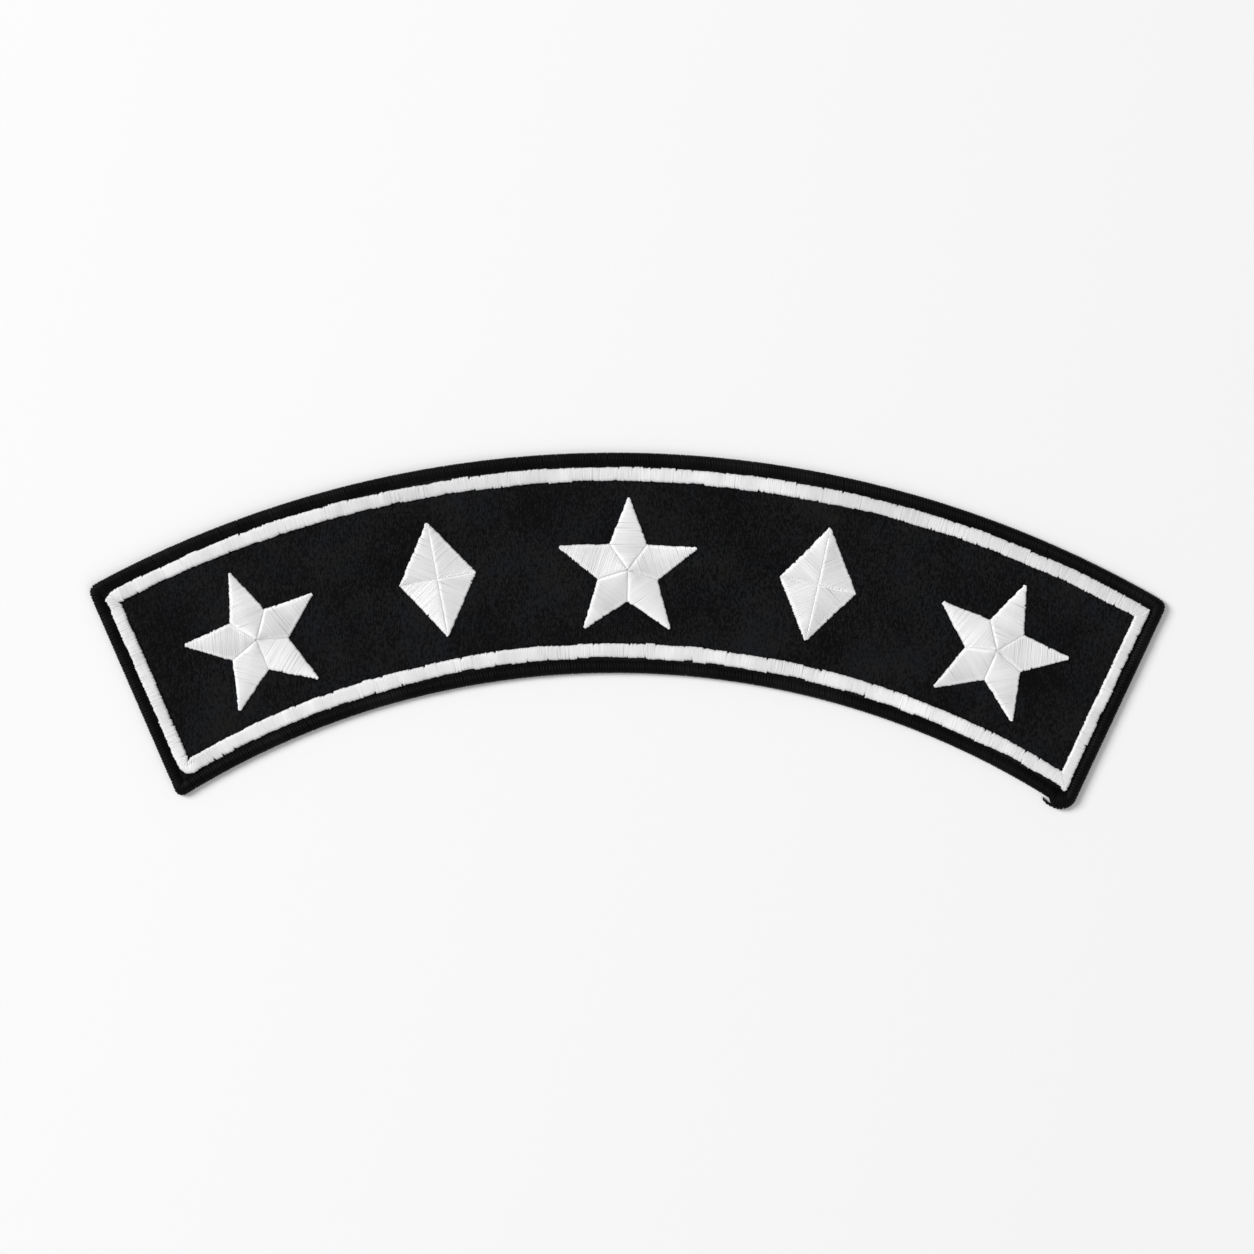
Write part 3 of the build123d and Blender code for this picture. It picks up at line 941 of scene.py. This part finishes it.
TAIL_PLY = 0.25 * MM
TAIL_PLUMPNESS = 1.15
TAIL_LAY = 2.4 * MM
TAIL_RINGS = 28
TAIL_OUT = 1.3 * MM  # from the rim to where the tail starts
TAIL_SWING = 0.4 * MM  # how far it then swings out
TAIL_CURL = 0.8 * MM  # how far its end curls back
TAIL_HEIGHT = 0.95 * MM
TAIL_DROOP = 0.4 * MM
TAIL_TIP = 0.97  # the share of its length after which it is thinner
TAIL_TIP_THIN = 0.6
TAIL_DYES = [[0.3], [0.6]]
# light and shade colours of the black thread; its batches of painted sheen and the painted shade between
# strands move its colour between them
BLACK_THREAD = (0.0064, 0.0064, 0.0061, 1)
BLACK_THREAD_SHADE = (0.0001, 0.0001, 0.0001, 1)

border_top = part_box("merrowed_border")[1].z
border_corners = [(radius, radius, CORNER_FULLNESS) for radius in CORNER_RADII]
rim, feet, _ = column((0, 0), BORDER_REACH, border_corners, WRAP_SPACING)
wraps = len(rim)
corner_start = edge_spans((0, 0))[2][0]
fullest = lower_edge(corner_start + FULL_AT, 0)
full_reach = np.where(rim[:, 0] > fullest[0], FULL_BEFORE, FULL_AFTER)
near_corner = nearness(rim, fullest, full_reach)
outwards = rim - feet
outwards /= np.linalg.norm(outwards, axis=1, keepdims=True)
rim = rim + outwards * FULL_OUT * near_corner[:, None]
lumps = np.array([noise.noise(Vector((x, y, 0)) / LUMP) for x, y in rim])
fuller = 1 + FULL_UP * near_corner + LUMP_HEIGHT * lumps


def at_station(values, stations):
    """Values round the patch, read between stations."""
    below = np.floor(stations).astype(int)
    part = (stations - below).reshape(stations.shape + (1,) * (values.ndim - 1))
    return values[below % wraps] * (1 - part) + values[(below + 1) % wraps] * part


def wrap_threads():
    """The wraps, each from its needle hole on the face over the rim to the back."""
    share, height, plump = np.array(WRAP_SECTION).T
    lean = np.where(height > RIM_HEIGHT, WRAP_LEAN, -WRAP_LEAN) * np.clip(share - RIM_SHARE, 0, 1)
    stations = np.arange(wraps)[:, None] + rng.normal(0, WRAP_STRAY, wraps)[:, None] + lean
    reach = share + rng.normal(0, FOOT_UNEVEN, wraps)[:, None] * (share > FOOT_FROM)
    rim_there, feet_there = at_station(rim, stations), at_station(feet, stations)
    flat = rim_there + (feet_there - rim_there) * reach[..., None]
    lift = height * border_top * at_station(fuller, stations)
    lift = lift + rng.normal(0, LAID_PROUD, wraps)[:, None] * (height > RIM_HEIGHT)
    forward = np.roll(rim, -1, 0) - np.roll(rim, 1, 0)
    forward /= np.linalg.norm(forward, axis=1, keepdims=True)
    forward = np.column_stack([forward, np.zeros(wraps)])
    thick = rng.normal(1, WRAP_PLUMPNESS, wraps)[:, None] * plump
    centres = np.concatenate([flat, lift[..., None]], -1)
    half_width, half_height = WRAP_HALF_WIDTH * thick, WRAP_HALF_HEIGHT * thick
    # painted sheen along the border, in batches of wraps
    painted_sheen = PAINTED_SHEEN_DRIFT * batches(wraps, *WRAP_BATCH) ** 2 + (1 - PAINTED_SHEEN_DRIFT) * rng.random(wraps)
    dye_and_sheen = np.broadcast_to(1 - painted_sheen[:, None], thick.shape)
    return thread_shell(centres, -forward[:, None], half_width, half_height, dye_and_sheen, sides=9)


def roll_rings(step=3):
    """The roll under the wraps: their section drawn in."""
    section = np.array(WRAP_SECTION)[:, :2]
    middle = (section.min(0) + section.max(0)) / 2
    section = middle + (section - middle) * ROLL_SHRINK
    return swept_section(rim[::step], feet[::step], section * (1, border_top))


def tail_threads():
    """Two plies of the border's thread, twisted, that lie beside the lower edge."""
    share = np.linspace(0, 1, TAIL_RINGS)
    outwards = TAIL_OUT + TAIL_SWING * share - TAIL_CURL * share**3
    flat = lower_edge(corner_start + TAIL_FROM + TAIL_LENGTH * share, -outwards)
    lift = TAIL_HEIGHT - TAIL_DROOP * share
    turn = math.tau * TAIL_LENGTH / TAIL_LAY * share
    centres = []
    for phase in (0, math.pi):
        offset = np.column_stack([0 * turn, np.sin(turn + phase), np.cos(turn + phase)]) * TAIL_PLY
        centres.append(np.column_stack([flat, lift]) + offset)
    plump = TAIL_PLUMPNESS * np.where(share < TAIL_TIP, 1, TAIL_TIP_THIN)
    thick = np.full((2, TAIL_RINGS), TAIL_PLY) * plump
    sideways = np.array([[[0, 1, 0]]] * 2)
    dye_and_sheen = np.broadcast_to(TAIL_DYES, thick.shape)
    return thread_shell(np.stack(centres), sideways, thick, thick, dye_and_sheen, sides=8)


black_thread = thread_material(
    "black_border_thread",
    roughness=0.42,
    specular=0.052,
    lay_mm=BORDER_LAY_MM,
    light=BLACK_THREAD,
    shade=BLACK_THREAD_SHADE,
)
border = build("overlocked_border", [black_thread], ring_shell(roll_rings()), wrap_threads(), tail_threads())
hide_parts("merrowed_border")
